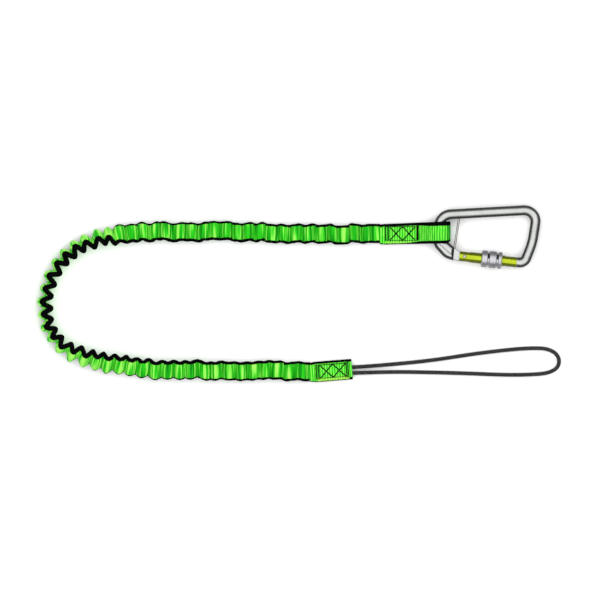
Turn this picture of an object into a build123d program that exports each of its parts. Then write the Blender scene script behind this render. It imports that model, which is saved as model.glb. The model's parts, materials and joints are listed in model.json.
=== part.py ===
from build123d import *
import math
import os

# Tool lanyard laid flat on the floor (z = 0): a screwgate karabiner, gathered webbing over an
# elastic core, and a cord loop. Millimetres, +X along the lanyard, +Z up, origin on the floor
# under the middle of the whole object.

# ---------------------------------------------------------------- driving dimensions
ROD_R = 5.0                     # karabiner bar
ROD_THICK = 8.8                 # across the bar's two flats
GATE_R = 4.75                   # gate tube
GATE_ANGLE = -6.1               # slope of the gate across the karabiner
PIVOT = (21.4, -21.3)           # gate rivet, in karabiner coordinates
PIVOT_PIN_R = 1.4
HINGE_ARM_R = 4.7               # extra width of the bar beside the hinge
HINGE_ARM_THICK = 8.4
TONGUE_R = 4.4                  # rounded end of the hinge tongue
TONGUE_T = 4.0
SHOULDER_AT = -9.8              # where the bar ends and the hinge tongue starts
SHOULDER_LEN = 2.6              # the bar slopes down to the tongue over this length
GATE_END = -4.6                 # square hinge end of the gate
TONGUE_FLAT = 3.2               # flat on the tongue that the plunger bears on
NOSE_AT = 47.4                  # nose face, measured from the rivet along the gate
NECK_LEN = 2.4                  # neck that the screw sleeve covers when it is locked
NECK_R = 4.7
NOSE_TONGUE_LEN = 9.8
NOSE_TONGUE_T = 3.8
LATCH_AT = (43.0, 0.6)
LATCH_PIN_R = 1.1
LATCH_PIN_LEN = 7.0             # its holes stop inside the gate's cheeks
SLOT_T = 4.2                    # slots of the two gate forks
PLUNGER_R = 1.9
PLUNGER_LEN = 9.0
SPRING_WIRE_R = 0.28
SPRING_END = 29.8
SLEEVE_FROM = 15.3
SLEEVE_LEN = 18.7
SLEEVE_R = 7.6
SLEEVE_BORE_R = 4.85
CAPTIVE_BAR_R = 1.0

EYE_AXIS = (127.9, 54.3, 8.8)   # middle of the webbing eye, where the karabiner swings
EYE_CAVITY_R = 7.0
EYE_OUTER_R = 8.8
EYE_WIDTH = 19.6
EYE_CORNER_CUT = 2.4            # the edge of the eye is drawn in where the bar turns away
EYE_FROM = 77.9                 # where the flat end of the webbing starts
EYE_FLAT_TO = 108.4             # where its two layers part
FLAT_T = 5.0                    # thickness of the doubled flat ends
TILT_X = -0.0378                # slopes of the karabiner, which leans on the eye,
TILT_Y = -0.0395                # on the screw sleeve and on its far corner

SLEEVE_WEB_R = 9.0              # gathered webbing
ELASTIC_R = 2.9
BORE_R = 3.1
THROAT_LEN = 4.0
THROAT_H = 13.0

LOOP_END_AT = (31.5, -69.5)     # middle of the flat end that holds the cord
LOOP_END_SIZE = (33.3, 18.0, 5.6)
LOOP_END_TURN = 4.5

CORD_R = 1.8
CORD_CORE_R = 1.1

# ---------------------------------------------------------------- routes
# Corner points of the runs; the turns between the runs are tangent arcs.
UPPER_ROUTE = [(73.6, 53.8, 9.0), (22.0, 53.0, 9.0), (-48.0, 55.4, 9.0), (-118.0, 55.4, 9.0)]
BEND_ROUTE = [
    (-118.0, 55.4, 9.0),
    (-148.0, 55.4, 9.0),
    (-192.0, 48.0, 9.0),
    (-219.0, 25.0, 9.0),
    (-230.0, -8.0, 9.0),
    (-223.5, -39.0, 9.0),
    (-199.0, -57.5, 9.0),
    (-150.0, -66.8, 9.0),
    (-114.0, -69.2, 9.0),
    (-88.0, -69.2, 9.0),
]
LOWER_ROUTE = [(-88.0, -69.2, 9.0), (-50.0, -69.2, 9.0), (-14.0, -69.7, 9.0), (10.4, -70.6, 9.0)]
CORD_ROUTE = [
    (26.0, -67.5, 2.8),
    (50.0, -66.6, 2.8),
    (84.0, -64.0, 1.85),
    (120.0, -60.4, 1.85),
    (158.0, -54.4, 1.85),
    (192.0, -50.4, 1.85),
    (211.0, -49.2, 1.85),
    (225.0, -49.8, 1.85),
    (234.3, -56.0, 1.85),
    (234.6, -66.0, 1.85),
    (225.5, -71.8, 1.85),
    (209.0, -73.2, 1.85),
    (186.0, -73.5, 1.85),
    (152.0, -72.0, 1.85),
    (118.0, -71.1, 1.85),
    (84.0, -70.6, 1.85),
    (52.0, -71.7, 2.8),
    (26.0, -72.3, 2.8),
]


def turn_radii(points):
    """Arc radius of each turn: 0.45 of the shorter run over the tangent of half the turn."""
    radii = []
    for before, corner, after in zip(points, points[1:], points[2:]):
        run_in = Vector(*corner) - Vector(*before)
        run_out = Vector(*after) - Vector(*corner)
        half_turn = math.radians(run_in.get_angle(run_out)) / 2
        radii.append(0.45 * min(run_in.length, run_out.length) / math.tan(half_turn))
    return radii


def route_line(points):
    """One smooth line through a route."""
    return FilletPolyline(*points, radius=turn_radii(points))


def swept(section, line):
    """A flat section carried along a line."""
    return sweep(Plane(origin=line @ 0, z_dir=line % 0) * section, path=line)


# ---------------------------------------------------------------- karabiner
# Built flat in its own coordinates: origin on the eye axis, x away from the webbing.
KARABINER = Plane(origin=EYE_AXIS, x_dir=(1, 0, TILT_X), z_dir=(-TILT_X, -TILT_Y, 1))
GATE = Plane(origin=(*PIVOT, 0), x_dir=(1, math.tan(math.radians(GATE_ANGLE)), 0), z_dir=(0, 0, 1))


def along_gate(radius, start, length):
    """A cylinder on the gate axis, start and length measured along the gate."""
    end_face = Plane(origin=(start, 0, 0), z_dir=(1, 0, 0))
    return GATE.location * extrude(end_face * Circle(radius), amount=length)


def across_gate(radius, at, height):
    """A cylinder through the karabiner's thickness at a point of the gate."""
    return GATE.location * Pos(at[0], at[1], 0) * Cylinder(radius, height)


def gate_box(start, end, low, high, thickness):
    """A box in gate coordinates."""
    middle = Pos((start + end) / 2, (low + high) / 2, 0)
    return GATE.location * middle * Box(end - start, high - low, thickness)


def on_gate_axis(distance):
    """A point of the gate axis in karabiner coordinates."""
    point = GATE.from_local_coords(Vector(distance, 0, 0))
    return (point.X, point.Y, 0)


def frame_line():
    """Middle of the bar, from the nose round the far corner and the spine to the rivet."""
    corners = [
        on_gate_axis(NOSE_AT),
        on_gate_axis(54.3),
        (82.6, -8.8, 0),
        (87.3, 21.1, 0),
        (-1.0, 16.3, 0),
        (-2.0, -6.3, 0),
        on_gate_axis(-7.7),
        on_gate_axis(0),
    ]
    return FilletPolyline(*corners, radius=[6.0, 60.0, 10.0, 11.0, 10.0, 8.0])


def hinge_arm_line():
    """Middle of the extra width that the bar has on its outer side, between the eye and the hinge."""
    corners = [(-2.0, -2.0, 0), (-2.0, -9.4, 0), (6.2, -18.4, 0), on_gate_axis(-8.0)]
    return FilletPolyline(*corners, radius=8.0)


def captive_wire(radius):
    """The straight wire between the spine and the lower bar, let into both."""
    low = Vector(12.1, -15.4, 0)
    high = Vector(17.0, 15.8, 0)
    return extrude(Plane(origin=low, z_dir=high - low) * Circle(radius), amount=(high - low).length)


def bar_section(radius, thickness):
    """Round bar with a flat on its upper and lower side."""
    return Circle(radius) & Rectangle(thickness, 3 * radius)


def shoulder_slope(side):
    """Wedge cut away where one face of the bar slopes down to the hinge tongue."""
    outline = Polygon(
        (SHOULDER_AT - SHOULDER_LEN, side * ROD_R),
        (SHOULDER_AT, side * TONGUE_T / 2),
        (SHOULDER_AT + 1, side * TONGUE_T / 2),
        (SHOULDER_AT + 1, side * ROD_R),
        align=None,
    )
    return GATE.location * extrude(Plane.XZ * outline, amount=13, both=True)


def karabiner_frame():
    line = frame_line()
    bar = swept(bar_section(ROD_R, ROD_THICK), line)
    bar += swept(bar_section(HINGE_ARM_R, HINGE_ARM_THICK), hinge_arm_line())
    bar -= gate_box(SHOULDER_AT, 12, -13, 13, 12)
    for side in (1, -1):
        bar -= shoulder_slope(side)
    hinge_tongue = swept(Circle(TONGUE_R), line)
    hinge_tongue = hinge_tongue & gate_box(SHOULDER_AT - 2, 0, -13, 13, TONGUE_T)
    hinge_tongue += across_gate(TONGUE_R, (0, 0), TONGUE_T)
    hinge_tongue -= gate_box(TONGUE_FLAT, TONGUE_FLAT + 3, -6, 6, 6)
    bar += hinge_tongue
    bar -= across_gate(PIVOT_PIN_R + 0.06, (0, 0), 12)
    bar -= along_gate(ROD_R + 1, NOSE_AT, NECK_LEN) - along_gate(NECK_R, NOSE_AT, NECK_LEN)
    tongue_from = NOSE_AT - NOSE_TONGUE_LEN
    nose_tongue = gate_box(tongue_from, NOSE_AT + 0.5, -NECK_R, 3.2, NOSE_TONGUE_T)
    nose_tongue = nose_tongue & along_gate(NECK_R, tongue_from, NOSE_TONGUE_LEN + 0.5)
    nose_tongue -= across_gate(LATCH_PIN_R + 0.25, LATCH_AT, 6)
    notch_half = LATCH_PIN_R + 0.25
    nose_tongue -= gate_box(LATCH_AT[0] - notch_half, LATCH_AT[0] + notch_half, LATCH_AT[1], 5, 6)
    bar += nose_tongue
    return bar - captive_wire(CAPTIVE_BAR_R + 0.01)


def gate():
    tube = along_gate(GATE_R, GATE_END, NOSE_AT - 0.3 - GATE_END)
    tube -= gate_box(GATE_END - 1, 5.0, -6, 6, SLOT_T)
    tube -= gate_box(NOSE_AT - NOSE_TONGUE_LEN - 0.8, NOSE_AT + 1, -6, 6, SLOT_T)
    tube -= along_gate(PLUNGER_R + 0.1, 4, SPRING_END - 4)
    tube -= across_gate(PIVOT_PIN_R + 0.02, (0, 0), 12)
    tube -= across_gate(LATCH_PIN_R + 0.02, LATCH_AT, LATCH_PIN_LEN + 0.1)
    rivet_recess = across_gate(PIVOT_PIN_R + 0.4, (0, 0), 12) - across_gate(3, (0, 0), 8.4)
    return tube - rivet_recess


def gate_pivot_pin():
    return across_gate(PIVOT_PIN_R, (0, 0), 2 * GATE_R - 0.2)


def gate_latch_pin():
    return across_gate(LATCH_PIN_R, LATCH_AT, LATCH_PIN_LEN)


def gate_plunger():
    return along_gate(PLUNGER_R, TONGUE_FLAT + 0.05, PLUNGER_LEN)


def gate_spring():
    start = TONGUE_FLAT + 0.1 + PLUNGER_LEN + SPRING_WIRE_R
    length = SPRING_END - 0.05 - SPRING_WIRE_R - start
    coil = Helix(pitch=length / 9, height=length, radius=PLUNGER_R - 0.1 - SPRING_WIRE_R)
    wire = swept(Circle(SPRING_WIRE_R), coil)
    return GATE.location * Plane(origin=(start, 0, 0), z_dir=(1, 0, 0)).location * wire


def screw_sleeve():
    """Three collars with two grooves between them, round the gate."""
    sleeve = along_gate(SLEEVE_R, SLEEVE_FROM, SLEEVE_LEN)
    sleeve = chamfer(sleeve.edges().filter_by(GeomType.CIRCLE), 0.6)
    for groove_at in (5.6, 13.9):
        start = SLEEVE_FROM + groove_at
        sleeve -= along_gate(SLEEVE_R + 1, start, 1.4) - along_gate(SLEEVE_R - 1.0, start, 1.4)
    return sleeve - along_gate(SLEEVE_BORE_R, SLEEVE_FROM - 1, SLEEVE_LEN + 2)


# ---------------------------------------------------------------- webbing
def tangent_point(tip, middle, radius, side):
    """Where the line from a tip point touches a circle, on its upper (1) or lower (-1) side."""
    dx = tip[0] - middle[0]
    dz = tip[1] - middle[1]
    distance = math.hypot(dx, dz)
    angle = math.atan2(dz, dx) - side * math.acos(radius / distance)
    return (middle[0] + radius * math.cos(angle), middle[1] + radius * math.sin(angle))


def teardrop(radius, tip_x, tip_low, tip_high):
    """Side outline of the eye: a circle drawn out to a blunt tip."""
    middle = (EYE_AXIS[0], EYE_AXIS[2])
    low = tangent_point((tip_x, tip_low), middle, radius, -1)
    high = tangent_point((tip_x, tip_high), middle, radius, 1)
    wedge = make_face(Polyline((tip_x, tip_low), low, middle, high, (tip_x, tip_high), close=True))
    return wedge + Pos(*middle) * Circle(radius)


def throat(x_from, y_middle):
    """Where the flat end opens to take the gathered webbing and the elastic."""
    block = Pos(x_from - THROAT_LEN / 2, y_middle, THROAT_H / 2) * Box(THROAT_LEN, 15, THROAT_H)
    return fillet(block.edges().filter_by(Axis.X), 4)


def elastic_socket(x_from, y_middle):
    """The blind hole in a throat that holds the end of the elastic."""
    mouth = Plane(origin=(x_from - THROAT_LEN - 0.5, y_middle, 9.0), z_dir=(1, 0, 0))
    return extrude(mouth * Circle(BORE_R), amount=THROAT_LEN)


def webbing_eye():
    """The flat doubled end, which opens into the eye round the karabiner."""
    outline = teardrop(EYE_OUTER_R, EYE_FLAT_TO, 0.0, FLAT_T)
    outline -= teardrop(EYE_CAVITY_R, EYE_FLAT_TO + 3.5, 2.0, 3.4)
    side = Plane(origin=(0, EYE_AXIS[1] + EYE_WIDTH / 2, 0), x_dir=(1, 0, 0), z_dir=(0, -1, 0))
    eye = extrude(side * outline, amount=EYE_WIDTH)
    flat_len = EYE_FLAT_TO + 0.5 - EYE_FROM
    flat = Pos(EYE_FROM + flat_len / 2, EYE_AXIS[1], FLAT_T / 2) * Box(flat_len, EYE_WIDTH, FLAT_T)
    eye += fillet(flat.edges().filter_by(Axis.X), 1.2)
    eye += throat(EYE_FROM, 53.8)
    eye -= elastic_socket(EYE_FROM, 53.8)
    below_corner = EYE_AXIS[1] - EYE_WIDTH / 2 + EYE_CORNER_CUT
    return eye - Pos(EYE_AXIS[0] + 5, below_corner - 5, 10) * Box(30, 10, 20)


LOOP_END = Location((*LOOP_END_AT, 0), (0, 0, LOOP_END_TURN))


def webbing_loop_end():
    length, width, height = LOOP_END_SIZE
    flat = Pos(0, 0, height / 2) * Box(length, width, height)
    end = LOOP_END * fillet(flat.edges().filter_by(Axis.X), 1.4)
    throat_at = LOOP_END_AT[0] - length / 2
    end += throat(throat_at, -70.8)
    end -= elastic_socket(throat_at, -70.7)
    return end - swept(Circle(CORD_R + 0.03), route_line(CORD_ROUTE))


def gathered(route):
    """Gathered webbing as a thick sleeve with the elastic's bore."""
    return swept(Circle(SLEEVE_WEB_R) - Circle(BORE_R), route_line(route))


def elastic(route):
    return swept(Circle(ELASTIC_R), route_line(route))


# ---------------------------------------------------------------- stitching
def seam(start, end, width, thickness):
    """A straight row of thread between two points of the upper face."""
    dx = end[0] - start[0]
    dy = end[1] - start[1]
    middle = Pos((start[0] + end[0]) / 2, (start[1] + end[1]) / 2, thickness / 2)
    row = Box(math.hypot(dx, dy) + width, width, thickness)
    return middle * Rot(0, 0, math.degrees(math.atan2(dy, dx))) * row


def crossed_boxes(left, right, half_width):
    """Two crossed boxes side by side, drawn in thread about the middle line."""
    middle = (left + right) / 2
    rows = seam((left, -half_width), (right, -half_width), 0.9, 0.5)
    rows += seam((left, half_width), (right, half_width), 0.9, 0.5)
    for box_left, box_right in ((left, middle), (middle, right)):
        rows += seam((box_left, -half_width), (box_right, half_width), 0.9, 0.5)
        rows += seam((box_left, half_width), (box_right, -half_width), 0.9, 0.5)
    return rows


def bartacks(first, second, half_width):
    """Two dense bars of thread across the webbing."""
    return [seam((x, -half_width), (x, half_width), 2.0, 0.6) for x in (first, second)]


# ---------------------------------------------------------------- write the pieces
def karabiner_pieces():
    return {
        "karabiner_frame": karabiner_frame(),
        "gate": gate(),
        "gate_pivot_pin": gate_pivot_pin(),
        "gate_latch_pin": gate_latch_pin(),
        "gate_plunger": gate_plunger(),
        "gate_spring": gate_spring(),
        "screw_sleeve": screw_sleeve(),
        "captive_bar": captive_wire(CAPTIVE_BAR_R),
    }


def soft_pieces():
    on_eye = Pos(0, EYE_AXIS[1], FLAT_T)
    on_loop_end = LOOP_END * Pos(0, 0, LOOP_END_SIZE[2])
    return {
        "webbing_eye": webbing_eye(),
        "webbing_upper_run": gathered(UPPER_ROUTE),
        "webbing_bend": gathered(BEND_ROUTE),
        "webbing_lower_run": gathered(LOWER_ROUTE),
        "webbing_loop_end": webbing_loop_end(),
        "elastic_upper": elastic([(76.6, 53.8, 9.0)] + UPPER_ROUTE[1:]),
        "elastic_bend": elastic(BEND_ROUTE),
        "elastic_lower": elastic(LOWER_ROUTE[:-1] + [(13.0, -70.7, 9.0)]),
        "eye_stitching": on_eye * crossed_boxes(82.4, 104.8, 6.9),
        "eye_bartacks": [on_eye * bar for bar in bartacks(80.0, 107.2, 6.8)],
        "loop_stitching": on_loop_end * crossed_boxes(-12.4, 12.4, 6.2),
        "loop_bartacks": [on_loop_end * bar for bar in bartacks(-14.8, 14.4, 6.6)],
        "cord_sheath": swept(Circle(CORD_R) - Circle(CORD_CORE_R + 0.02), route_line(CORD_ROUTE)),
        "cord_core": swept(Circle(CORD_CORE_R), route_line(CORD_ROUTE)),
    }


def write_piece(name, shape):
    if isinstance(shape, list):
        shape = Compound(children=[part if isinstance(part, Solid) else part.solid() for part in shape])
    export_step(shape, f"parts/{name}.step")


os.makedirs("parts", exist_ok=True)
for piece_name, piece in karabiner_pieces().items():
    write_piece(piece_name, KARABINER.location * piece)
for piece_name, piece in soft_pieces().items():
    write_piece(piece_name, piece)

for route_name, route in (("webbing bend", BEND_ROUTE), ("cord", CORD_ROUTE)):
    print(route_name, "length", round(route_line(route).length, 1))
    print(route_name, "turn radii", [round(radius, 1) for radius in turn_radii(route)])
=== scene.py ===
import json
import math
import random

import bmesh
import bpy
from mathutils import Matrix, Vector


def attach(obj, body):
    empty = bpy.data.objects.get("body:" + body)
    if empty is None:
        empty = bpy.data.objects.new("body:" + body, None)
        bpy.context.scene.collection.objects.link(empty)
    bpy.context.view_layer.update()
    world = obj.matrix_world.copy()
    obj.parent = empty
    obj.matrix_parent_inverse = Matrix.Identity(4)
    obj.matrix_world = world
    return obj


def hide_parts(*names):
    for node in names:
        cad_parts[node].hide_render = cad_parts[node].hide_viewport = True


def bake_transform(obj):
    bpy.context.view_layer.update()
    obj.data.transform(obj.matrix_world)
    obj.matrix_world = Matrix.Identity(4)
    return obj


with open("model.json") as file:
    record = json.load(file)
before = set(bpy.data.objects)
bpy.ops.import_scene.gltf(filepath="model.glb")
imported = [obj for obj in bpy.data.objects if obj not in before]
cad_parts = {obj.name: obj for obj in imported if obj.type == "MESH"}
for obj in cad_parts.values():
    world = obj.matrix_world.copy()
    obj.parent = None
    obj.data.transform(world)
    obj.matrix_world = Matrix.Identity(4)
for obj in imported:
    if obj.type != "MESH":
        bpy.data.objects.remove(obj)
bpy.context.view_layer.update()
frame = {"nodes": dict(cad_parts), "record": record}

MM = 0.001
UP = Vector((0, 0, 1))

# ---------------------------------------------------------------- sizes in millimetres
TAPE_W = 19.6               # webbing width
TAPE_T = 3.5                # thickness of the tubular webbing where it is gathered
EDGE_W = 2.6                # black woven edge
PLEAT_PITCH = 10.6
PLEAT_HEIGHT = 8.6          # how far the tape swings to and fro, crest to crest
SHARPNESS = 0.86            # 1 folds the pleats to straight sharp zigzags, 0 rounds them
EDGE_TURN = 1.5             # how far the outer black edge turns under where the tape leans
STEP = 0.00042              # metres between two rings of the gathered tape
LAYER_T = 2.2               # flattened webbing, one layer
GATHERED_W = 17.3           # the tape is drawn in where it is gathered
LOOP_END_W = 18.4
RIB_PITCH = 2.25            # woven ribs across the flat ends
ELASTIC_W = 8.0             # flat elastic inside the gathered tape
ELASTIC_T = 1.5
RIVET_R = 1.65
SPRING_SPAN = (12.7, 29.4)  # along the gate, from its rivet
SPRING_TURNS = 9
SPRING_R = 1.5
SPRING_WIRE_R = 0.28
BRAID_PITCH = 15.0
CARRIERS = 8                # strands each way round the cord
CORE_R = 1.36               # dark filling under the strands
STRAND_DEPTH = 1.5          # middle of a strand, from the middle of the cord
STRAND_WAVE = 0.1           # how far a strand dips under the others
STRAND_HALF_W = 0.46
STRAND_HALF_T = 0.24
PLEAT_UNEVEN = (0.80, 1.22)     # share of the even pitch
HEIGHT_UNEVEN = (0.78, 1.08)    # share of the even height
SIDEWAYS = 1.2              # how far a pleat may sit to one side
PICK_PITCH = 1.3            # cross threads in the painted highlight strip
WEAVE_PITCH = 0.9           # cross threads in the black edge
RAGGED_EDGE = 1.6           # how far the black edge wanders
EYE_MIDDLE_Y = 53.2         # middle of the eye where it leaves the bartacks
EYE_SLANT = 0.030           # the eye runs slightly off the X axis
EYE_TOP = 5.1               # height of the stitches on the eye
LOOP_TOP = 5.85             # and on the loop end
LOOP_BAR_TOP = 5.8
LOOP_END_TURN = 4.5         # degrees
KNURL_TEETH = 60
KNURL_DEPTH = 0.16
KNURL_SLANT = 5.2           # radians of twist for each millimetre along the sleeve
CALM_LENGTH = 0.009         # metres over which the pleats die out at both ends of the tape

# The routes of part.py, in metres.
GATHERED_ROUTE = [
    (0.0736, 0.0538, 0.009),
    (0.0220, 0.0530, 0.009),
    (-0.0480, 0.0554, 0.009),
    (-0.1180, 0.0554, 0.009),
    (-0.1480, 0.0554, 0.009),
    (-0.1920, 0.0480, 0.009),
    (-0.2190, 0.0250, 0.009),
    (-0.2300, -0.0080, 0.009),
    (-0.2235, -0.0390, 0.009),
    (-0.1990, -0.0575, 0.009),
    (-0.1500, -0.0668, 0.009),
    (-0.1140, -0.0692, 0.009),
    (-0.0880, -0.0692, 0.009),
    (-0.0500, -0.0692, 0.009),
    (-0.0140, -0.0697, 0.009),
    (0.0104, -0.0706, 0.009),
]
CORD_ROUTE = [
    (0.0260, -0.0675, 0.0028),
    (0.0500, -0.0666, 0.0028),
    (0.0840, -0.0640, 0.00185),
    (0.1200, -0.0604, 0.00185),
    (0.1580, -0.0544, 0.00185),
    (0.1920, -0.0504, 0.00185),
    (0.2110, -0.0492, 0.00185),
    (0.2250, -0.0498, 0.00185),
    (0.2343, -0.0560, 0.00185),
    (0.2346, -0.0660, 0.00185),
    (0.2255, -0.0718, 0.00185),
    (0.2090, -0.0732, 0.00185),
    (0.1860, -0.0735, 0.00185),
    (0.1520, -0.0720, 0.00185),
    (0.1180, -0.0711, 0.00185),
    (0.0840, -0.0706, 0.00185),
    (0.0520, -0.0717, 0.0028),
    (0.0260, -0.0723, 0.0028),
]
UPPER_END = (-0.118, 0.0554, 0.009)         # where the upper run meets the bend
LOWER_START = (-0.114, -0.0690, 0.009)      # and where the bend meets the lower run
LOOP_END_MIDDLE = (0.0315, -0.0695, 0)


# ---------------------------------------------------------------- lines and meshes
def spline_points(route, resolution=24):
    """Points along the smooth NURBS line of a route."""
    curve = bpy.data.curves.new("route", "CURVE")
    curve.dimensions = "3D"
    spline = curve.splines.new("NURBS")
    spline.points.add(len(route) - 1)
    for point, place in zip(spline.points, route):
        point.co = (*place, 1)
    spline.order_u = 3
    spline.use_endpoint_u = True
    spline.resolution_u = resolution
    holder = bpy.data.objects.new("route", curve)
    mesh = bpy.data.meshes.new_from_object(holder)
    points = [vertex.co.copy() for vertex in mesh.vertices]
    bpy.data.objects.remove(holder)
    bpy.data.curves.remove(curve)
    bpy.data.meshes.remove(mesh)
    return points


class Line:
    """A line that can be read at any distance along it, in metres."""

    def __init__(self, points):
        self.points = points
        self.reach = [0.0]
        for a, b in zip(points, points[1:]):
            self.reach.append(self.reach[-1] + (b - a).length)
        self.length = self.reach[-1]

    def _leg(self, distance):
        low, high = 0, len(self.reach) - 2
        while low < high:
            middle = (low + high + 1) // 2
            if self.reach[middle] <= distance:
                low = middle
            else:
                high = middle - 1
        return low

    def at(self, distance):
        leg = self._leg(distance)
        span = self.reach[leg + 1] - self.reach[leg]
        return self.points[leg].lerp(self.points[leg + 1], (distance - self.reach[leg]) / span)

    def direction(self, distance, step=0.002):
        ahead = self.at(min(distance + step, self.length))
        behind = self.at(max(distance - step, 0.0))
        return (ahead - behind).normalized()

    def nearest(self, place):
        place = Vector(place)
        index = min(range(len(self.points)), key=lambda i: (self.points[i] - place).length)
        return self.reach[index]


def turns(count):
    """Even angles round a circle."""
    return [2 * math.pi * k / count for k in range(count)]


def smooth(value, low, high):
    """0 below low, 1 above high, and an S curve between them."""
    t = min(max((value - low) / (high - low), 0.0), 1.0)
    return t * t * (3 - 2 * t)


def grid_mesh(name, rings, attributes=None, cap=True):
    """A skin over rings of points, closed at its ends if cap is set, with named values on its points."""
    mesh = bpy.data.meshes.new(name)
    count = len(rings[0])
    vertices = [place for ring in rings for place in ring]
    faces = []
    for i in range(len(rings) - 1):
        for j in range(count):
            k = (j + 1) % count
            faces.append((i * count + j, i * count + k, (i + 1) * count + k, (i + 1) * count + j))
    if cap:
        faces.append(tuple(reversed(range(count))))
        faces.append(tuple((len(rings) - 1) * count + j for j in range(count)))
    mesh.from_pydata(vertices, [], faces)
    for key, values in (attributes or {}).items():
        mesh.attributes.new(key, "FLOAT", "POINT").data.foreach_set("value", values)
    repair = bmesh.new()
    repair.from_mesh(mesh)
    bmesh.ops.recalc_face_normals(repair, faces=repair.faces)
    repair.to_mesh(mesh)
    repair.free()
    for polygon in mesh.polygons:
        polygon.use_smooth = True
    return mesh


def shown(name, mesh, material, body=None):
    """A new piece in the scene, riding on a body if one is named."""
    piece = bpy.data.objects.new(name, mesh)
    bpy.context.scene.collection.objects.link(piece)
    mesh.materials.append(material)
    if body:
        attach(piece, body)
    return piece


def tape_section(width, thickness, bulge):
    """Outline of flattened tubular webbing: (across, out) points, round at both edges."""
    half_w, half_t = width / 2, thickness / 2
    flat = half_w - half_t
    outline = []
    for side in (1, -1):
        for step in range(5):
            angle = math.radians(-72 + 36 * step)
            outline.append((side * (flat + half_t * math.cos(angle)), side * half_t * math.sin(angle)))
        for step in range(1, 8):
            x = side * flat * (1 - step / 4)
            crown = bulge * (1 - (x / flat) ** 2) * thickness
            outline.append((x, side * (half_t + crown)))
    return outline


# ---------------------------------------------------------------- materials
def srgb(red, green, blue):
    """A colour given as 0 to 255 values, as the linear colour that shaders use."""
    linear = []
    for value in (red, green, blue):
        c = value / 255
        linear.append(c / 12.92 if c <= 0.04045 else ((c + 0.055) / 1.055) ** 2.4)
    return (*linear, 1.0)


class Nodes:
    """A short way to build a material's nodes."""

    def __init__(self, name):
        self.material = bpy.data.materials.new(name)
        self.material.use_nodes = True
        self.tree = self.material.node_tree
        self.shader = self.tree.nodes["Principled BSDF"]

    def add(self, kind, **settings):
        node = self.tree.nodes.new(kind)
        for key, value in settings.items():
            setattr(node, key, value)
        return node

    def link(self, source, target):
        self.tree.links.new(source, target)

    def put(self, target, value):
        if hasattr(value, "is_output"):
            self.link(value, target)
        else:
            target.default_value = value

    def attribute(self, name):
        return self.add("ShaderNodeAttribute", attribute_name=name).outputs["Fac"]

    def math(self, operation, a, b=0.0):
        node = self.add("ShaderNodeMath", operation=operation)
        self.put(node.inputs[0], a)
        self.put(node.inputs[1], b)
        return node.outputs[0]

    def vector(self, x, y, z=0.0):
        node = self.add("ShaderNodeCombineXYZ")
        for socket, value in zip(node.inputs, (x, y, z)):
            self.put(socket, value)
        return node.outputs[0]

    def noise(self, place, scale, detail=2.0):
        node = self.add("ShaderNodeTexNoise")
        self.put(node.inputs["Vector"], place)
        node.inputs["Scale"].default_value = scale
        node.inputs["Detail"].default_value = detail
        return node.outputs["Fac"]

    def ramp(self, factor, stops):
        node = self.add("ShaderNodeValToRGB")
        self.put(node.inputs["Fac"], factor)
        elements = node.color_ramp.elements
        while len(elements) < len(stops):
            elements.new(0.5)
        for element, (place, colour) in zip(elements, stops):
            element.position = place
            element.color = colour
        return node.outputs["Color"]

    def mix(self, factor, a, b):
        node = self.add("ShaderNodeMix", data_type="RGBA")
        self.put(node.inputs["Factor"], factor)
        self.put(node.inputs["A"], a)
        self.put(node.inputs["B"], b)
        return node.outputs["Result"]

    def bump(self, height, strength, distance):
        node = self.add("ShaderNodeBump")
        self.put(node.inputs["Height"], height)
        node.inputs["Strength"].default_value = strength
        node.inputs["Distance"].default_value = distance
        self.link(node.outputs["Normal"], self.shader.inputs["Normal"])


def webbing_material(name, tone_of, greens):
    """Green tape with black woven edges. Its pattern follows the tape, not the space around it."""
    nodes = Nodes(name)
    along = nodes.attribute("along")
    across = nodes.attribute("across")
    tone, height = tone_of(nodes, along, across)
    green = nodes.ramp(tone, greens)
    picks = nodes.math("SINE", nodes.math("MULTIPLY", along, 2 * math.pi / (PICK_PITCH * MM)))
    picks = nodes.math("ADD", nodes.math("MULTIPLY", picks, 0.22), 0.40)
    # Painted highlight: a pale yellow-green strip, with cross threads in it, replaces the black edge where
    # the flat ends mark it.
    painted_edge_highlight = nodes.math("MULTIPLY", nodes.attribute("painted_edge_highlight"), picks)
    green = nodes.mix(painted_edge_highlight, green, srgb(196, 238, 92))
    ragged = nodes.noise(nodes.vector(nodes.math("MULTIPLY", along, 420.0), 0.0), 1.0, 1.0)
    reach = nodes.math("ABSOLUTE", across)
    wander = nodes.math("MULTIPLY", nodes.math("SUBTRACT", ragged, 0.5), RAGGED_EDGE * MM)
    reach = nodes.math("ADD", reach, wander)
    edge = nodes.math("GREATER_THAN", reach, (TAPE_W / 2 - EDGE_W) * MM)
    weave = nodes.math("SINE", nodes.math("MULTIPLY", along, 2 * math.pi / (WEAVE_PITCH * MM)))
    black = nodes.ramp(nodes.math("MULTIPLY_ADD", weave, 0.5), [
        (0.0, srgb(2, 2, 3)),
        (1.0, srgb(13, 13, 15)),
    ])
    nodes.link(nodes.mix(edge, green, black), nodes.shader.inputs["Base Color"])
    not_edge = nodes.math("SUBTRACT", 1.0, edge)
    nodes.link(nodes.math("MULTIPLY", not_edge, 0.03), nodes.shader.inputs["Sheen Weight"])
    nodes.link(nodes.math("MULTIPLY", not_edge, 0.15), nodes.shader.inputs["Specular IOR Level"])
    nodes.shader.inputs["Roughness"].default_value = 0.7
    nodes.bump(height, 0.6, 0.00035)
    return nodes.material


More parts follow.
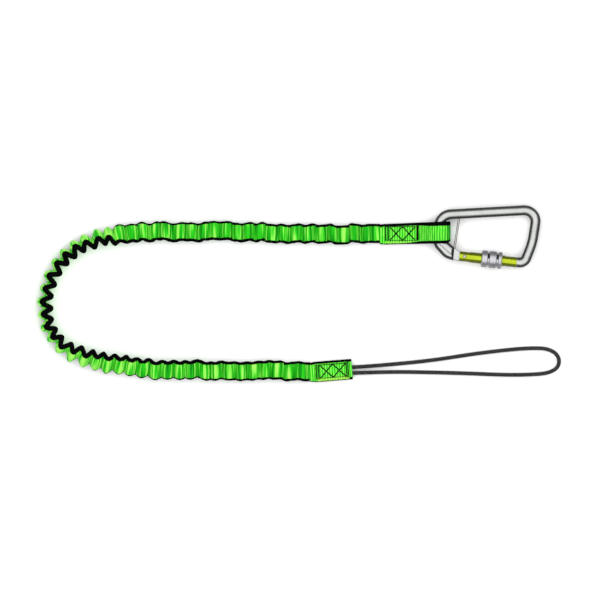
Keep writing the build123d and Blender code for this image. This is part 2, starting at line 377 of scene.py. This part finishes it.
def gathered_tone(nodes, along, across):
    """Fine streaks across the gathered tape, with painted light on its crests and on its upturned edge
    round the bend.
    """
    streak = nodes.noise(nodes.vector(nodes.math("MULTIPLY", along, 360.0),
                                      nodes.math("MULTIPLY", across, 10.0)), 1.0, 1.0)
    fine = nodes.noise(nodes.vector(nodes.math("MULTIPLY", along, 980.0),
                                    nodes.math("MULTIPLY", across, 30.0)), 1.0, 1.0)
    painted_crest_light = nodes.attribute("painted_crest_light")
    tone = nodes.math("ADD", nodes.math("MULTIPLY", streak, 0.55), nodes.math("MULTIPLY", fine, 0.45))
    # Painted light on the fold crests and painted shade in the valleys.
    tone = nodes.math("ADD", tone, nodes.math("MULTIPLY", nodes.math("SUBTRACT", painted_crest_light, 0.5), 0.05))
    return tone, nodes.math("ADD", streak, fine)


def ribbed_tone(nodes, along, across):
    """Flat tape: even ribs across it, a little uneven from rib to rib."""
    fine = nodes.noise(nodes.vector(nodes.math("MULTIPLY", along, 900.0),
                                    nodes.math("MULTIPLY", across, 120.0)), 1.0, 2.0)
    drift = nodes.noise(nodes.vector(nodes.math("MULTIPLY", along, 160.0), 0.0), 1.0, 1.0)
    phase = nodes.math("MULTIPLY", along, 2 * math.pi / (RIB_PITCH * MM))
    phase = nodes.math("ADD", phase, nodes.math("MULTIPLY", drift, 3.0))
    rib = nodes.math("SINE", phase)
    tone = nodes.math("ADD", nodes.math("MULTIPLY", rib, 0.15), 0.5)
    tone = nodes.math("ADD", tone, nodes.math("MULTIPLY", nodes.math("SUBTRACT", fine, 0.5), 0.4))
    tone = nodes.math("SUBTRACT", tone, nodes.math("MULTIPLY", nodes.attribute("shade"), 0.22))
    return tone, nodes.math("ADD", nodes.math("MULTIPLY", rib, 0.6), fine)


def thread_material(name, dark, light, grain_scale=2600.0):
    """Matt fibre with a fine grain: thread, cord, core and elastic."""
    nodes = Nodes(name)
    place = nodes.add("ShaderNodeNewGeometry").outputs["Position"]
    grain = nodes.noise(place, grain_scale, 2.0)
    nodes.link(nodes.ramp(grain, [(0.3, dark), (0.7, light)]), nodes.shader.inputs["Base Color"])
    nodes.shader.inputs["Roughness"].default_value = 0.8
    nodes.shader.inputs["Specular IOR Level"].default_value = 0.1
    nodes.bump(grain, 0.5, 0.0002)
    return nodes.material


def metal_material(name, colour, roughness, scratch, painted_side_shade, bright_from):
    """Metal with a fine grain and handling marks, polished on top, with painted shade down its sides:
    darker and less metallic where the surface turns away from straight up.
    """
    nodes = Nodes(name)
    place = nodes.add("ShaderNodeNewGeometry").outputs["Position"]
    grain = nodes.noise(place, 900.0, 4.0)
    worn = nodes.noise(place, 120.0, 3.0)
    # Painted shade: the sides, where the surface turns away from straight up, take this darkened colour in
    # place of dark reflections.
    painted_side_shade_colour = tuple(c * painted_side_shade for c in colour[:3]) + (1.0,)
    normal = nodes.add("ShaderNodeSeparateXYZ")
    nodes.link(nodes.add("ShaderNodeTexCoord").outputs["Normal"], normal.inputs[0])
    facing = nodes.math("ABSOLUTE", normal.outputs["Z"])
    facing = nodes.math("ADD", facing, nodes.math("MULTIPLY", nodes.math("SUBTRACT", worn, 0.5), 0.02))
    # 1 on the top, which keeps its full colour, and 0 down the sides, which take the painted shade.
    polished_and_painted_shade = nodes.ramp(facing, [(bright_from - 0.16, (0, 0, 0, 1)), (bright_from, (1, 1, 1, 1))])
    tint = nodes.ramp(worn, [(0.35, tuple(c * 0.88 for c in colour[:3]) + (1.0,)), (0.65, colour)])
    surface = nodes.mix(polished_and_painted_shade, painted_side_shade_colour, tint)
    # Painted shade: near black wherever the mesh carries the slot value, which only the sleeve's groove
    # floors have.
    surface = nodes.mix(nodes.attribute("slot"), surface, (0.02, 0.02, 0.02, 1))
    nodes.link(surface, nodes.shader.inputs["Base Color"])
    # The painted-shade sides also lose most of their metal, so they stay dark.
    metallic = nodes.math("MAXIMUM", polished_and_painted_shade, 0.25 if painted_side_shade < 0.5 else 0.9)
    nodes.link(metallic, nodes.shader.inputs["Metallic"])
    nodes.shader.inputs["Specular IOR Level"].default_value = 0.15
    rough = nodes.math("MULTIPLY_ADD", grain, scratch)
    rough.node.inputs[2].default_value = roughness
    nodes.link(rough, nodes.shader.inputs["Roughness"])
    nodes.bump(grain, 0.08, 0.0001)
    return nodes.material


# ---------------------------------------------------------------- gathered webbing
def pleat_plan(length, seed):
    """Where each fold of the gathered tape lies and how high it stands."""
    chance = random.Random(seed)
    folds = []
    place = 0.0
    while place < length + 20:
        half = PLEAT_PITCH / 2 * chance.uniform(*PLEAT_UNEVEN)
        height = chance.uniform(*HEIGHT_UNEVEN)
        folds.append((place, half, height, chance.uniform(-SIDEWAYS, SIDEWAYS)))
        place += half
    return folds


def fold_at(folds, distance):
    """Phase in half pleats, height and sideways shift at a distance along the route."""
    for index, (place, half, height, shift) in enumerate(folds):
        if distance <= place + half:
            part = smooth(distance, place, place + half)
            nxt = folds[index + 1]
            turn = (distance - place) / half
            return index + turn, height + (nxt[2] - height) * part, shift + (nxt[3] - shift) * part
    return len(folds), 1.0, 0.0


def roll_plan(line):
    """The tape lies face up on the runs, leans more and more, and stands on edge round the bend."""
    stations = [
        ((0.0220, 0.0530, 0.009), 0), ((-0.0600, 0.0554, 0.009), 4), ((-0.1350, 0.0554, 0.009), 8),
        ((-0.1600, 0.0542, 0.009), 14), ((-0.1720, 0.0520, 0.009), 56), ((-0.2120, 0.0330, 0.009), 75),
        ((-0.2300, -0.0080, 0.009), 78), ((-0.2200, -0.0430, 0.009), 72),
        ((-0.1980, -0.0580, 0.009), 50), ((-0.1700, -0.0630, 0.009), 31),
        ((-0.1300, -0.0680, 0.009), 18), ((-0.0500, -0.0692, 0.009), 6), ((0.0000, -0.0700, 0.009), 0),
    ]
    return [(line.nearest(place), degrees) for place, degrees in stations]


def roll_at(plan, distance):
    """The tape's lean in radians at a distance along the route."""
    for (start, first), (end, second) in zip(plan, plan[1:]):
        if start <= distance <= end:
            return math.radians(first + (second - first) * smooth(distance, start, end))
    return 0.0


def tape_centres(line, start, end, folds):
    """Middle of the gathered tape and its directions, step by step between two distances."""
    plan = roll_plan(line)
    steps = int((end - start) / STEP)
    places = []
    for step in range(steps + 1):
        distance = start + (end - start) * step / steps
        phase, height, shift = fold_at(folds, distance / MM)
        near_end = smooth(distance, line.length - CALM_LENGTH, line.length)
        calm = smooth(distance, 0.0, CALM_LENGTH) * (1 - near_end)
        roll = roll_at(plan, distance)
        ahead = line.direction(distance)
        outward = ahead.cross(UP).normalized()
        normal = UP * math.cos(roll) + outward * math.sin(roll)
        side = outward * math.cos(roll) - UP * math.sin(roll)
        swing = math.asin(SHARPNESS * math.sin(math.pi * phase)) / math.asin(SHARPNESS)
        rise = swing * height * PLEAT_HEIGHT / 2 * (0.78 + 0.22 * math.sin(roll)) * calm
        flat_height = 1.1 * PLEAT_HEIGHT / 2 + TAPE_T / 2
        above = flat_height * math.cos(roll) + (GATHERED_W / 2 + 0.6) * math.sin(roll)
        above = above * calm + (LAYER_T + 0.3) * (1 - calm)
        centre = line.at(distance)
        centre.z = above * MM
        centre = centre + (normal * rise + side * shift * calm) * MM
        # The last value is the painted light: higher on the fold crests, lower in the valleys.
        places.append((centre, normal, side, math.sin(roll), 0.5 + 0.5 * swing * height * calm))
    return places


def wrapped(places, section_of):
    """Rings of a section carried along the tape, square to its folds, and its own coordinates."""
    rings = []
    stretch = TAPE_W / GATHERED_W
    facts = {"across": [], "along": [], "painted_crest_light": [], "painted_edge_highlight": []}
    cloth = 0.0
    for index, (centre, normal, side, leaning, painted_crest_light) in enumerate(places):
        before = places[max(index - 1, 0)][0]
        after = places[min(index + 1, len(places) - 1)][0]
        if index:
            cloth += (centre - before).length
        out = side.cross((after - before).normalized()).normalized()
        if out.dot(normal) < 0:
            out = -out
        section = section_of(leaning)
        rings.append([centre + (side * a + out * t) * MM for a, t in section])
        facts["across"] += [(a * stretch - leaning * EDGE_TURN) * MM for a, _ in section]
        facts["along"] += [cloth] * len(section)
        # Painted light: the tone rises on fold crests and, more, where the tape leans up on edge.
        facts["painted_crest_light"] += [painted_crest_light + 1.4 * leaning] * len(section)
        facts["painted_edge_highlight"] += [0.0] * len(section)
    return rings, facts


def open_tape(leaning):
    """The tubular tape opens up where it stands on edge."""
    return tape_section(GATHERED_W, TAPE_T, 0.10 + 0.26 * leaning)


def flat_elastic(_leaning):
    """The elastic keeps one section however the tape leans."""
    return tape_section(ELASTIC_W, ELASTIC_T, 0.02)


def gathered_webbing(tape, rubber):
    """The gathered tape and the elastic inside it, as upper run, bend and lower run."""
    line = Line(spline_points(GATHERED_ROUTE))
    folds = pleat_plan(line.length / MM, 11)
    upper_end = line.nearest(UPPER_END)
    lower_start = line.nearest(LOWER_START)
    spans = [
        ("upper_run", "upper", 0.0, upper_end),
        ("bend", "bend", upper_end, lower_start),
        ("lower_run", "lower", lower_start, line.length),
    ]
    for part, elastic_part, start, end in spans:
        places = tape_centres(line, start, end, folds)
        for node, slot, material, section_of in (
            ("elastic_" + elastic_part, "elastic", rubber, flat_elastic),
            ("webbing_" + part, "green_webbing", tape, open_tape),
        ):
            rings, facts = wrapped(places, section_of)
            piece = shown(node + "_cloth", grid_mesh(node + "_cloth", rings, facts), material)
            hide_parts(node)
            if part == "bend":
                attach(piece, "lanyard_middle")
            elif part == "upper_run":
                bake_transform(piece)
            else:
                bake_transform(piece)


# ---------------------------------------------------------------- flat ends
def eye_cloth(material):
    """The flattened tape, folded round the karabiner bar and sewn to itself."""
    profile = [
        (73.2, 1.2), (108.0, 1.2), (124.0, 1.05), (131.3, 1.05), (135.65, 5.6), (135.65, 12.0),
        (131.1, 16.6), (122.4, 17.0), (110.2, 3.75), (104.0, 3.75), (73.2, 3.75),
    ]
    line = Line(spline_points([(x * MM, 0, z * MM) for x, z in profile]))
    section = tape_section(TAPE_W, LAYER_T, 0.03)
    rings = []
    facts = {"across": [], "along": [], "painted_edge_highlight": [], "shade": []}
    steps = 260
    for step in range(steps + 1):
        distance = line.length * step / steps
        centre = line.at(distance)
        run = line.direction(distance, 0.0005)
        out = Vector((-run.z, 0, run.x))
        x = centre.x / MM
        middle_y = EYE_MIDDLE_Y + (x - 78) * EYE_SLANT
        drawn_in = smooth(x, 133.6, 135.8) * 1.5
        upper_layer = smooth(step / steps, 0.70, 0.86)
        width = 0.945 + 0.055 * smooth(x, 78.0, 130.0) - 0.05 * smooth(-x, -78.0, -73.2)
        at_fold = smooth(x, 104.0, 122.0)
        ring = []
        for a, t in section:
            a_here = a * (1 - drawn_in / (TAPE_W / 2)) if a < 0 else a
            ring.append(Vector((centre.x, (middle_y + a_here * width) * MM, centre.z)) + out * t * MM)
        rings.append(ring)
        facts["across"] += [(a + (1.1 * at_fold if a > 0 else 1.7 * upper_layer)) * MM for a, _ in section]
        facts["along"] += [distance] * len(section)
        # Painted highlight along the lower edge of the upper layer.
        painted_edge_highlight = upper_layer * smooth(x, 77.4, 79.0)
        facts["painted_edge_highlight"] += [painted_edge_highlight if a < -TAPE_W / 2 + 3.2 else 0.0 for a, _ in section]
        facts["shade"] += [smooth(x, 132.6, 134.2)] * len(section)
    piece = shown("webbing_eye_cloth", grid_mesh("webbing_eye_cloth", rings, facts), material,
                  "eye_end")
    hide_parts("webbing_eye")


def loop_end_cloth(material):
    """Two layers of tape with the cord's ends sewn between them."""
    turn = Matrix.Rotation(math.radians(LOOP_END_TURN), 4, "Z")
    middle = Vector(LOOP_END_MIDDLE)
    section = tape_section(LOOP_END_W, 5.4, 0.04)
    rings = []
    facts = {"across": [], "along": [], "painted_edge_highlight": []}
    steps = 120
    for step in range(steps + 1):
        x = -21.6 + 38.4 * step / steps
        lip = smooth(x, 13.4, 14.6)
        wide = 1.0 - 0.08 * smooth(-x, 15.5, 21.6)
        tall = 1.0 - 0.12 * lip - 0.10 * smooth(-x, 17.0, 21.0)
        ring = []
        for a, t in section:
            ring.append(turn @ Vector((x * MM, a * wide * MM, (2.8 + t * tall) * MM)) + middle)
        rings.append(ring)
        facts["across"] += [(a * TAPE_W / LOOP_END_W - (0.3 if a > 0 else -1.9) * (1 - lip)) * MM
                            for a, _ in section]
        facts["along"] += [x * MM] * len(section)
        # Painted highlight along the lower edge of the loop end.
        facts["painted_edge_highlight"] += [(1 - lip) * smooth(x, -17.0, -13.0) if a < -5.8 else 0.0 for a, _ in section]
    piece = shown("webbing_loop_end_cloth", grid_mesh("webbing_loop_end_cloth", rings, facts),
                  material, "loop_end")
    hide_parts("webbing_loop_end")


# ---------------------------------------------------------------- stitching
def stitch(bm, place, along, length, width, height):
    """One short stitch, a rounded grain of thread."""
    made = bmesh.ops.create_uvsphere(bm, u_segments=8, v_segments=6, radius=1.0)
    spin = Matrix.Rotation(math.atan2(along[1], along[0]), 4, "Z")
    size = Matrix.Diagonal((length / 2, width / 2, height / 2, 1))
    bmesh.ops.transform(bm, matrix=Matrix.Translation(place) @ spin @ size, verts=made["verts"])


def seam(bm, start, end, top, pitch, width, chance):
    """A slightly uneven row of stitches between two points."""
    dx, dy = end[0] - start[0], end[1] - start[1]
    length = math.hypot(dx, dy)
    count = max(int(length / pitch), 1)
    for index in range(count):
        t = (index + 0.5) / count
        x = start[0] + dx * t + chance.uniform(-0.08, 0.08)
        y = start[1] + dy * t + chance.uniform(-0.08, 0.08)
        stitch(bm, (x * MM, y * MM, top * MM), (dx, dy), length / count * 1.08 * MM, width * MM, 0.6 * MM)


def bartack(bm, x, low, high, top, width, chance):
    """Closely packed stitches side by side, zigzagging across a short bar."""
    y = low
    while y < high:
        reach = width * chance.uniform(0.85, 1.1)
        middle = (x + chance.uniform(-0.12, 0.12)) * MM
        stitch(bm, (middle, y * MM, top * MM), (1, 0.25), reach * MM, 0.62 * MM, 0.8 * MM)
        y += 0.5


def sewn(name, draw, body, node, place, material):
    """One piece made of many stitches, drawn flat and put in place as a whole."""
    bm = bmesh.new()
    draw(bm, random.Random(len(name)))
    bmesh.ops.transform(bm, matrix=place, verts=bm.verts)
    mesh = bpy.data.meshes.new(name)
    bm.to_mesh(mesh)
    bm.free()
    for polygon in mesh.polygons:
        polygon.use_smooth = True
    piece = shown(name, mesh, material, body)
    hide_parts(node)


def crossed_boxes(bm, chance, left, right, low, high, top):
    """Two crosses side by side between two long seams; the bartacks close the boxes."""
    middle = (left + right) / 2
    for box_left, box_right in ((left, middle), (middle, right)):
        seam(bm, (box_left, low), (box_right, high), top, 1.7, 1.35, chance)
        seam(bm, (box_left, high), (box_right, low), top, 1.7, 1.35, chance)
    seam(bm, (left, low), (right, low), top, 1.5, 0.6, chance)
    seam(bm, (left, high), (right, high), top, 1.5, 0.8, chance)


def stitching(material):
    """Box stitches and bartacks at both ends, in millimetres."""
    eye_place = Matrix.Translation((0, 0.0536, 0))
    loop_turn = Matrix.Rotation(math.radians(LOOP_END_TURN), 4, "Z")
    loop_place = Matrix.Translation(LOOP_END_MIDDLE) @ loop_turn

    def eye_boxes(bm, chance):
        crossed_boxes(bm, chance, 82.0, 105.2, -6.1, 6.4, EYE_TOP)

    def eye_bars(bm, chance):
        for x, low, high, width in (
            (78.4, -6.2, 6.6, 1.3),
            (80.8, -6.2, 6.6, 1.3),
            (107.1, -5.8, 7.4, 2.7),
        ):
            bartack(bm, x, low, high, EYE_TOP, width, chance)

    def loop_boxes(bm, chance):
        crossed_boxes(bm, chance, -12.4, 11.2, -6.1, 5.9, LOOP_TOP)

    def loop_bars(bm, chance):
        for x, reach, top, width in (
            (-15.5, 6.7, LOOP_BAR_TOP, 1.3),
            (-13.4, 6.7, LOOP_BAR_TOP, 1.3),
            (11.6, 6.9, LOOP_TOP, 1.1),
            (13.3, 6.9, LOOP_TOP, 1.1),
        ):
            bartack(bm, x, -reach, reach, top, width, chance)

    sewn("eye_box_stitches", eye_boxes, "eye_end", "eye_stitching", eye_place, material)
    sewn("eye_bartack_stitches", eye_bars, "eye_end", "eye_bartacks", eye_place, material)
    sewn("loop_box_stitches", loop_boxes, "loop_end", "loop_stitching", loop_place, material)
    sewn("loop_bartack_stitches", loop_bars, "loop_end", "loop_bartacks", loop_place, material)


# ---------------------------------------------------------------- cord
def cord_frames(line, steps):
    """Distance, middle, side and up at even steps along the cord."""
    frames = []
    for step in range(steps + 1):
        distance = line.length * step / steps
        ahead = line.direction(distance)
        side = ahead.cross(UP).normalized()
        frames.append((distance, line.at(distance), side, side.cross(ahead).normalized()))
    return frames


def braided_cord(material):
    """A round braid: strands wound both ways, each dipping under the others in turn."""
    line = Line(spline_points(CORD_ROUTE))
    frames = cord_frames(line, 640)
    mesh_parts = []
    core = []
    for _, centre, side, up in frames[::4]:
        core.append([centre + (side * math.cos(a) + up * math.sin(a)) * CORE_R * MM for a in turns(10)])
    mesh_parts.append(grid_mesh("core", core))
    for way in (1, -1):
        for carrier in range(CARRIERS):
            rings = []
            for distance, centre, side, up in frames:
                turn = distance / (BRAID_PITCH * MM)
                angle = 2 * math.pi * (way * turn + carrier / CARRIERS)
                crossing = 2 * math.pi * (turn * CARRIERS / 2 + way * carrier / 2)
                depth = STRAND_DEPTH + STRAND_WAVE * math.sin(crossing)
                out = side * math.cos(angle) + up * math.sin(angle)
                around = up * math.cos(angle) - side * math.sin(angle)
                spot = centre + out * depth * MM
                rings.append([spot + (around * STRAND_HALF_W * x + out * STRAND_HALF_T * y) * MM
                              for x, y in ((1, 0), (0.5, 0.87), (-0.5, 0.87), (-1, 0), (0, -1))])
            mesh_parts.append(grid_mesh("strand", rings))
    bm = bmesh.new()
    for mesh in mesh_parts:
        bm.from_mesh(mesh)
        bpy.data.meshes.remove(mesh)
    mesh = bpy.data.meshes.new("cord_braid")
    bm.to_mesh(mesh)
    bm.free()
    piece = shown("cord_braid", mesh, material, "loop_end")
    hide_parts("cord_sheath")


# ---------------------------------------------------------------- karabiner
def joint_named(name):
    """A joint of the record, by its name."""
    return next(joint for joint in frame["record"]["behaviour"]["joints"] if joint["name"] == name)


def knurled_sleeve(material):
    """The screw sleeve: three knurled collars with two plain grooves between them."""
    travel = joint_named("sleeve_travel")
    axis = Vector(travel["axis"]).normalized()
    pivot = Vector(joint_named("gate_swing")["pos_m"])
    up = Vector(joint_named("gate_swing")["axis"]).normalized()
    side = up.cross(axis).normalized()
    profile = [
        (15.3, 4.9), (15.3, 6.6), (15.7, 7.2), (16.2, 7.6), (20.4, 7.6), (20.8, 7.1), (20.9, 6.6),
        (22.3, 6.6), (22.4, 7.1), (22.8, 7.7), (28.4, 7.7), (28.8, 7.1), (29.0, 6.6), (30.4, 6.6),
        (30.5, 7.1), (30.9, 7.6), (33.0, 7.6), (33.6, 7.2), (34.0, 6.6), (34.0, 4.9),
    ]
    dense = []
    for (x0, r0), (x1, r1) in zip(profile, profile[1:]):
        parts = max(int(abs(x1 - x0) / 0.22), 1)
        for part in range(parts):
            t = part / parts
            dense.append((x0 + (x1 - x0) * t, r0 + (r1 - r0) * t))
    dense.append(profile[-1])
    segments = KNURL_TEETH * 4
    rings = []
    painted_groove_shade = []
    for x, r in dense:
        ring = []
        for k in range(segments):
            angle = 2 * math.pi * k / segments
            # Painted shade: part of the groove floors, on one side only, is marked to be painted near
            # black where the groove lies in shade; no slot is cut there.
            in_painted_groove_shade = r < 7.0 and 19.0 < x < 32.0 and 45 < math.degrees(angle) < 88
            painted_groove_shade.append(1.0 if in_painted_groove_shade else 0.0)
            cut = 0.0
            if r > 7.4:
                right = math.cos(KNURL_TEETH * angle / 2 + x * KNURL_SLANT)
                left = math.cos(KNURL_TEETH * angle / 2 - x * KNURL_SLANT)
                cut = KNURL_DEPTH * (1 - abs(right)) + KNURL_DEPTH * (1 - abs(left))
            radius = r - cut
            out = side * math.cos(angle) + up * math.sin(angle)
            ring.append(pivot + axis * x * MM + out * radius * MM)
        rings.append(ring)
    mesh = grid_mesh("screw_sleeve_knurled", rings, {"slot": painted_groove_shade}, cap=False)
    inner = bmesh.new()
    inner.from_mesh(mesh)
    edges = [e for e in inner.edges if e.is_boundary]
    bmesh.ops.bridge_loops(inner, edges=edges)
    bmesh.ops.recalc_face_normals(inner, faces=inner.faces)
    inner.to_mesh(mesh)
    inner.free()
    piece = shown("screw_sleeve_knurled", mesh, material, "sleeve")
    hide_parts("screw_sleeve")


def gate_coil(material):
    """The spring in the gate's bore, drawn at one fixed length; the real one shortens as the plunger is
    pushed in.
    """
    axis = Vector(joint_named("plunger_slide")["axis"]).normalized()
    centre = Vector(joint_named("gate_swing")["pos_m"])
    side = axis.cross(UP).normalized()
    across = axis.cross(side)
    first, last = SPRING_SPAN
    rings = []
    for step in range(SPRING_TURNS * 20 + 1):
        part = step / (SPRING_TURNS * 20)
        turn = 2 * math.pi * SPRING_TURNS * part
        out = side * math.cos(turn) + across * math.sin(turn)
        middle = centre + (axis * (first + (last - first) * part) + out * SPRING_R) * MM
        rings.append([middle + (out * math.cos(t) + axis * math.sin(t)) * SPRING_WIRE_R * MM
                      for t in turns(8)])
    piece = shown("gate_spring_coil", grid_mesh("gate_spring_coil", rings), material)
    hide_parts("gate_spring")
    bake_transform(piece)


def domed_rivet(material):
    """The gate's rivet, with a low domed head at both ends."""
    centre = Vector(joint_named("gate_swing")["pos_m"])
    up = Vector(joint_named("gate_swing")["axis"]).normalized()
    side = up.cross(Vector((0, 1, 0))).normalized()
    across = up.cross(side)
    head = [(RIVET_R * math.sin(math.radians(a)), 4.25 + 0.75 * math.cos(math.radians(a)))
            for a in range(6, 91, 12)]
    profile = head + [(RIVET_R, 3.9), (1.35, 3.9)]
    profile += [(r, -z) for r, z in reversed(profile)]
    rings = []
    for r, z in profile:
        rings.append([centre + (up * z + (side * math.cos(t) + across * math.sin(t)) * r) * MM
                      for t in turns(24)])
    piece = shown("gate_rivet_domed", grid_mesh("gate_rivet_domed", rings), material, "gate_body")
    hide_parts("gate_pivot_pin")


def paint(node, material):
    """Give a CAD node that stays visible its material."""
    piece = frame["nodes"][node]
    piece.data.materials.clear()
    piece.data.materials.append(material)


# ---------------------------------------------------------------- stage
def stage():
    """Pale floor, soft light from above and a camera looking straight down."""
    bpy.ops.mesh.primitive_plane_add(size=6, location=(0, 0, -0.0002))
    floor = bpy.context.object
    floor.name = "floor"
    nodes = Nodes("floor")
    nodes.shader.inputs["Base Color"].default_value = (0.93, 0.93, 0.93, 1)
    nodes.shader.inputs["Roughness"].default_value = 0.9
    nodes.shader.inputs["Specular IOR Level"].default_value = 0.0
    floor.data.materials.append(nodes.material)

    world = bpy.data.worlds.new("studio")
    bpy.context.scene.world = world
    world.use_nodes = True
    world.node_tree.nodes["Background"].inputs["Color"].default_value = (1, 1, 1, 1)
    world.node_tree.nodes["Background"].inputs["Strength"].default_value = 0.22

    for name, place, size, power in (
        ("overhead", (0.0, 0.0, 2.0), 4.2, 112.0),
        ("side", (1.6, 1.0, 1.2), 0.8, 5.0),
    ):
        data = bpy.data.lights.new(name, "AREA")
        data.shape = "SQUARE"
        data.size = size
        data.energy = power
        lamp = bpy.data.objects.new(name, data)
        lamp.location = place
        lamp.rotation_euler = (-Vector(place)).to_track_quat("-Z", "Y").to_euler()
        bpy.context.scene.collection.objects.link(lamp)

    camera_data = bpy.data.cameras.new("camera")
    camera_data.type = "ORTHO"
    camera_data.ortho_scale = 0.54
    camera = bpy.data.objects.new("camera", camera_data)
    camera.location = (0.00135, -0.0060, 1.5)
    bpy.context.scene.collection.objects.link(camera)
    bpy.context.scene.camera = camera
    bpy.context.scene.view_settings.view_transform = "Standard"


gathered = webbing_material("green_webbing", gathered_tone, [
    (0.37, srgb(0, 98, 0)),
    (0.45, srgb(2, 150, 2)),
    (0.53, srgb(34, 190, 14)),
    (0.61, srgb(150, 236, 90)),
])
ribbed = webbing_material("green_webbing_flat", ribbed_tone, [
    (0.30, srgb(4, 138, 4)),
    (0.48, srgb(48, 196, 26)),
    (0.62, srgb(112, 224, 66)),
    (0.74, srgb(160, 238, 92)),
])
black_thread = thread_material("black_thread", srgb(0, 0, 0), srgb(9, 10, 8))
black_cord = thread_material("black_cord", srgb(2, 2, 2), srgb(74, 74, 74), 900.0)
core_yarn = thread_material("core_yarn", srgb(190, 190, 184), srgb(226, 226, 220))
rubber = thread_material("elastic", srgb(30, 30, 30), srgb(52, 52, 52))
polished_and_painted_shade = metal_material("polished_aluminium", (0.35, 0.36, 0.35, 1), 0.22, 0.12, 0.10, 0.975)
lime = metal_material("green_anodised", (0.29, 0.35, 0.018, 1), 0.22, 0.10, 0.25, 0.80)
silver = metal_material("silver_knurled", (0.40, 0.40, 0.42, 1), 0.34, 0.20, 0.78, 0.70)
steel = metal_material("steel", (0.34, 0.34, 0.33, 1), 0.28, 0.10, 0.15, 0.90)

gathered_webbing(gathered, rubber)
eye_cloth(ribbed)
loop_end_cloth(ribbed)
stitching(black_thread)
braided_cord(black_cord)
knurled_sleeve(silver)
gate_coil(steel)
domed_rivet(steel)

paint("karabiner_frame", polished_and_painted_shade)
paint("captive_bar", steel)
paint("gate", lime)
for pin in ("gate_latch_pin", "gate_plunger"):
    paint(pin, steel)
paint("cord_core", core_yarn)

stage()
